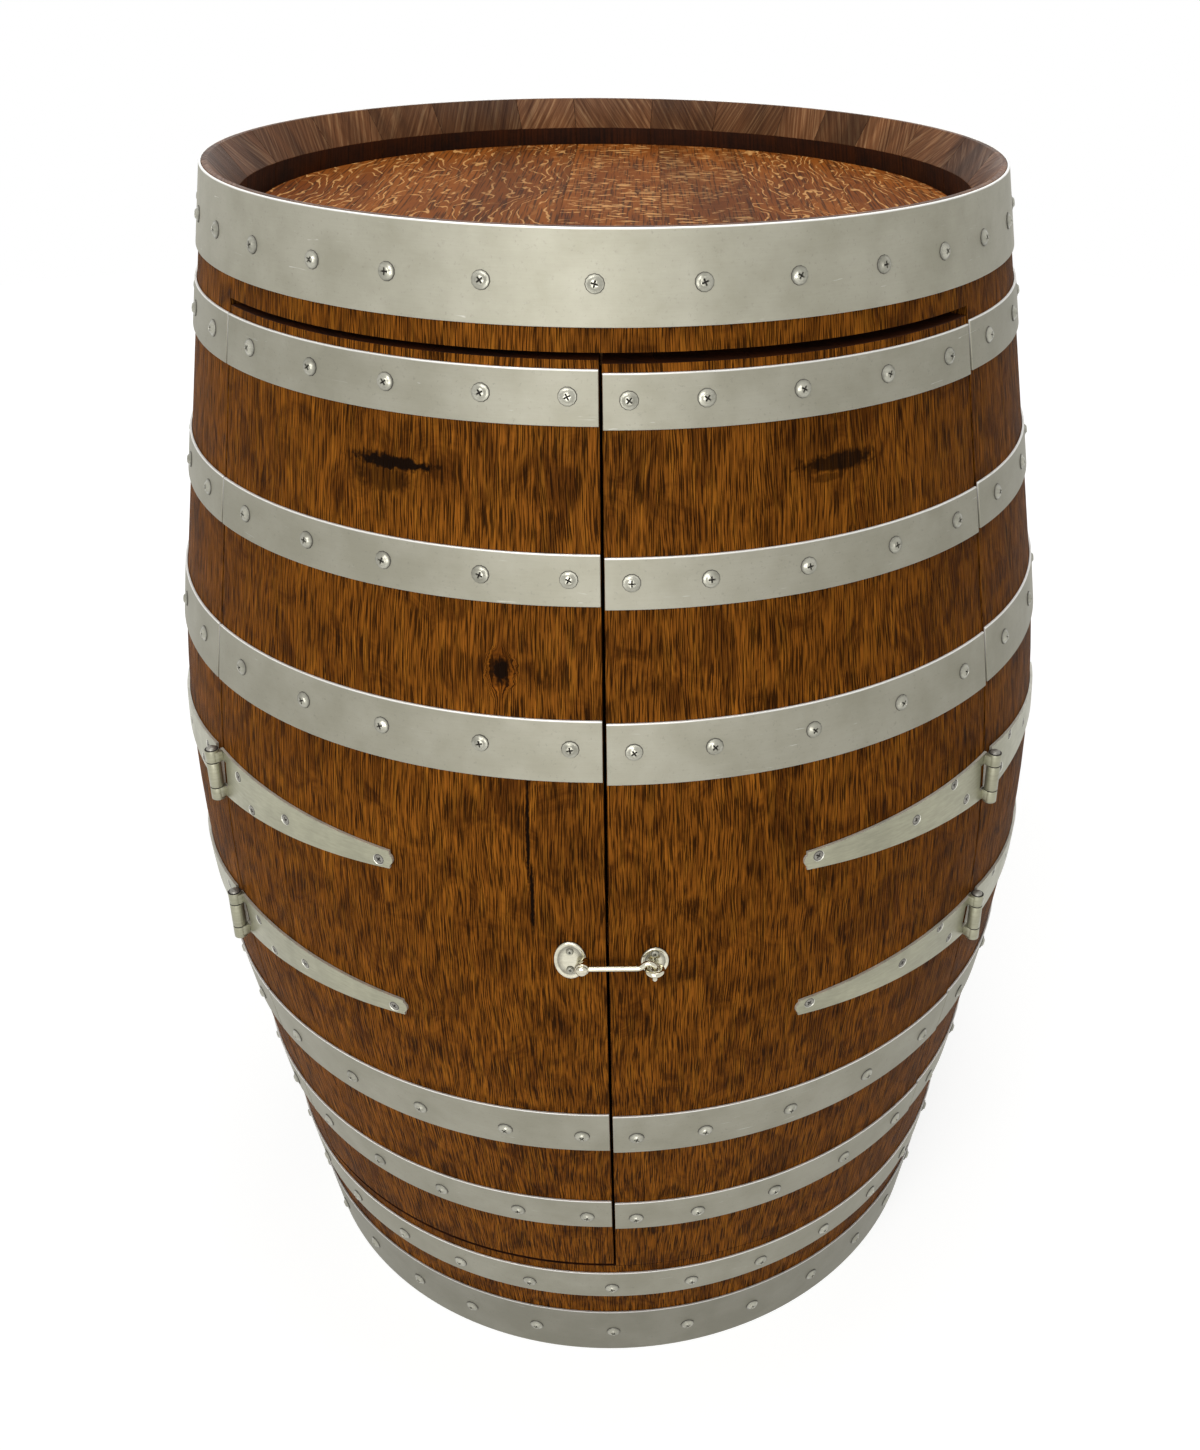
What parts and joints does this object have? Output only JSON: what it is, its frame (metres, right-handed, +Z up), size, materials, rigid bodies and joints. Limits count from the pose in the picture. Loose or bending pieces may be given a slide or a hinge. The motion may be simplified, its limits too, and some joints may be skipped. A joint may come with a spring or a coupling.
{
  "type": "barrel bar cabinet",
  "caption": "Upright stave barrel cabinet with two front doors on strap hinges, steel hoops, a hook latch and an inner shelf",
  "frame": {"origin": "on the floor, at the centre line of the barrel", "axes": "+Z up along the barrel's centre line, the doors face -Y, +X to the right of someone who looks at the doors"},
  "size_m": [0.7112, 0.7271, 0.95],
  "materials": {
    "stained_oak": "stained and waxed oak staves, satin",
    "head_oak": "varnished oak head boards, semi-gloss",
    "inside_oak": "plain sawn oak, matte",
    "galvanised_hoop": "galvanised steel band, matte",
    "zinc_strap": "zinc plated pressed steel, satin",
    "zinc_screw": "bright zinc plated steel",
    "steel_rivet": "plain steel, worn",
    "chrome_latch": "polished chrome plate"
  },
  "bodies": {
    "barrel": {"back_staves": "stained_oak", "bottom_head": "head_oak", "bottom_head_hoop": "galvanised_hoop", "frame_leaf_screws": "zinc_screw", "hinge_pins": "zinc_screw", "hoop_rivets": "steel_rivet", "hoop_screws": "zinc_screw", "left_lower_frame_leaf": "zinc_strap", "left_side_staves": "stained_oak", "left_upper_frame_leaf": "zinc_strap", "lintel_staves": "stained_oak", "lower_bilge_hoop_rear": "galvanised_hoop", "lower_collar_hoop": "galvanised_hoop", "lower_quarter_hoop_rear": "galvanised_hoop", "lower_stop_rail": "inside_oak", "right_lower_frame_leaf": "zinc_strap", "right_side_staves": "stained_oak", "right_upper_frame_leaf": "zinc_strap", "shelf": "inside_oak", "shelf_cleats": "inside_oak", "sill_staves": "stained_oak", "top_head": "head_oak", "top_head_hoop": "galvanised_hoop", "upper_bilge_hoop_rear": "galvanised_hoop", "upper_collar_hoop_rear": "galvanised_hoop", "upper_quarter_hoop_rear": "galvanised_hoop", "upper_stop_rail": "inside_oak"},
    "left_door": {"hook_plate": "chrome_latch", "hook_plate_screws": "zinc_screw", "left_door_hoop_screws": "zinc_screw", "left_door_lower_bilge_hoop": "galvanised_hoop", "left_door_lower_quarter_hoop": "galvanised_hoop", "left_door_stave_1": "stained_oak", "left_door_stave_2": "stained_oak", "left_door_stave_3": "stained_oak", "left_door_stave_4": "stained_oak", "left_door_stave_5": "stained_oak", "left_door_upper_bilge_hoop": "galvanised_hoop", "left_door_upper_collar_hoop": "galvanised_hoop", "left_door_upper_quarter_hoop": "galvanised_hoop", "left_lower_strap": "zinc_strap", "left_strap_screws": "zinc_screw", "left_upper_strap": "zinc_strap"},
    "right_door": {"eye_plate": "chrome_latch", "eye_plate_screws": "zinc_screw", "right_door_hoop_screws": "zinc_screw", "right_door_lower_bilge_hoop": "galvanised_hoop", "right_door_lower_quarter_hoop": "galvanised_hoop", "right_door_stave_1": "stained_oak", "right_door_stave_2": "stained_oak", "right_door_stave_3": "stained_oak", "right_door_stave_4": "stained_oak", "right_door_stave_5": "stained_oak", "right_door_upper_bilge_hoop": "galvanised_hoop", "right_door_upper_collar_hoop": "galvanised_hoop", "right_door_upper_quarter_hoop": "galvanised_hoop", "right_lower_strap": "zinc_strap", "right_strap_screws": "zinc_screw", "right_upper_strap": "zinc_strap"},
    "hook": {"hook": "chrome_latch"}
  },
  "joints": [
    {"name": "left_door_swing", "type": "hinge", "parent": "barrel", "child": "left_door", "pos_m": [-0.29028, -0.21495, 0.475], "axis": [0, 0, -1], "range_deg": [0, 170]},
    {"name": "right_door_swing", "type": "hinge", "parent": "barrel", "child": "right_door", "pos_m": [0.28261, -0.22494, 0.475], "axis": [0, 0, 1], "range_deg": [0, 170]},
    {"name": "hook_lift", "type": "hinge", "parent": "left_door", "child": "hook", "pos_m": [-0.017, -0.3646, 0.478], "axis": [0, -1, 0], "range_deg": [0, 120]}
  ]
}
